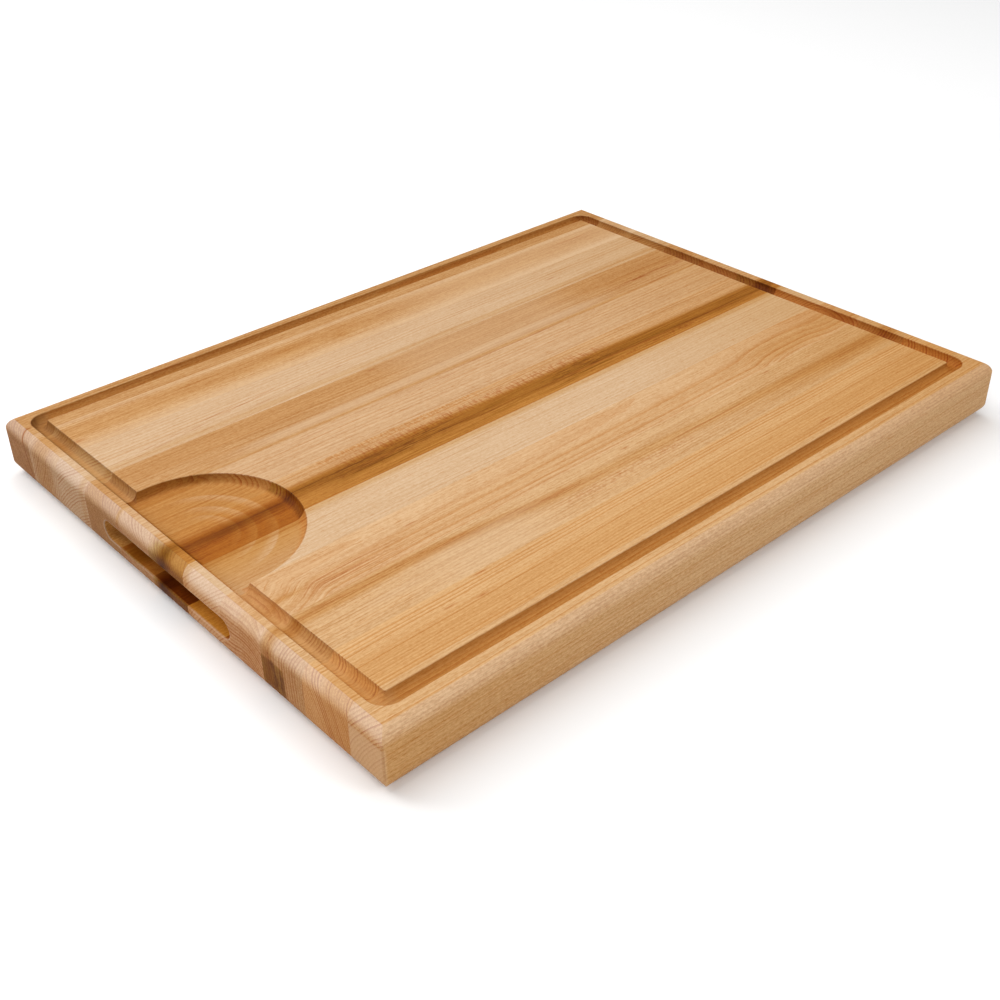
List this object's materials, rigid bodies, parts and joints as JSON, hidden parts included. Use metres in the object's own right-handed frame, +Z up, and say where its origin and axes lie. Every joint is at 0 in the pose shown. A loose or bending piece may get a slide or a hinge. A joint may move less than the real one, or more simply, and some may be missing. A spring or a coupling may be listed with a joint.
{
  "type": "cutting board",
  "caption": "Rectangular edge-grain maple carving board glued up from staves, with a juice groove, a half-round well and a finger grip in each end.",
  "frame": {"origin": "centre of the flat underside, on the surface that the board rests on", "axes": "+X along the staves, from the well end to the plain end; +Y across the staves, towards the far long side; +Z up, out of the carving face"},
  "size_m": [0.508, 0.381, 0.0381],
  "materials": {
    "maple_01": "oiled, satin",
    "maple_02": "oiled, satin",
    "maple_03": "oiled, satin",
    "maple_04": "oiled, satin",
    "maple_05": "oiled, satin",
    "maple_06": "oiled, satin",
    "maple_07": "oiled, satin",
    "maple_08": "oiled, satin",
    "maple_09": "oiled, satin",
    "maple_10": "oiled, satin",
    "maple_11": "oiled, satin"
  },
  "bodies": {
    "root": {"stave_01_far_edge": "maple_01", "stave_02": "maple_02", "stave_03": "maple_03", "stave_04": "maple_04", "stave_05": "maple_05", "stave_06": "maple_06", "stave_07": "maple_07", "stave_08": "maple_08", "stave_09": "maple_09", "stave_10": "maple_10", "stave_11_near_edge": "maple_11"}
  },
  "joints": []
}
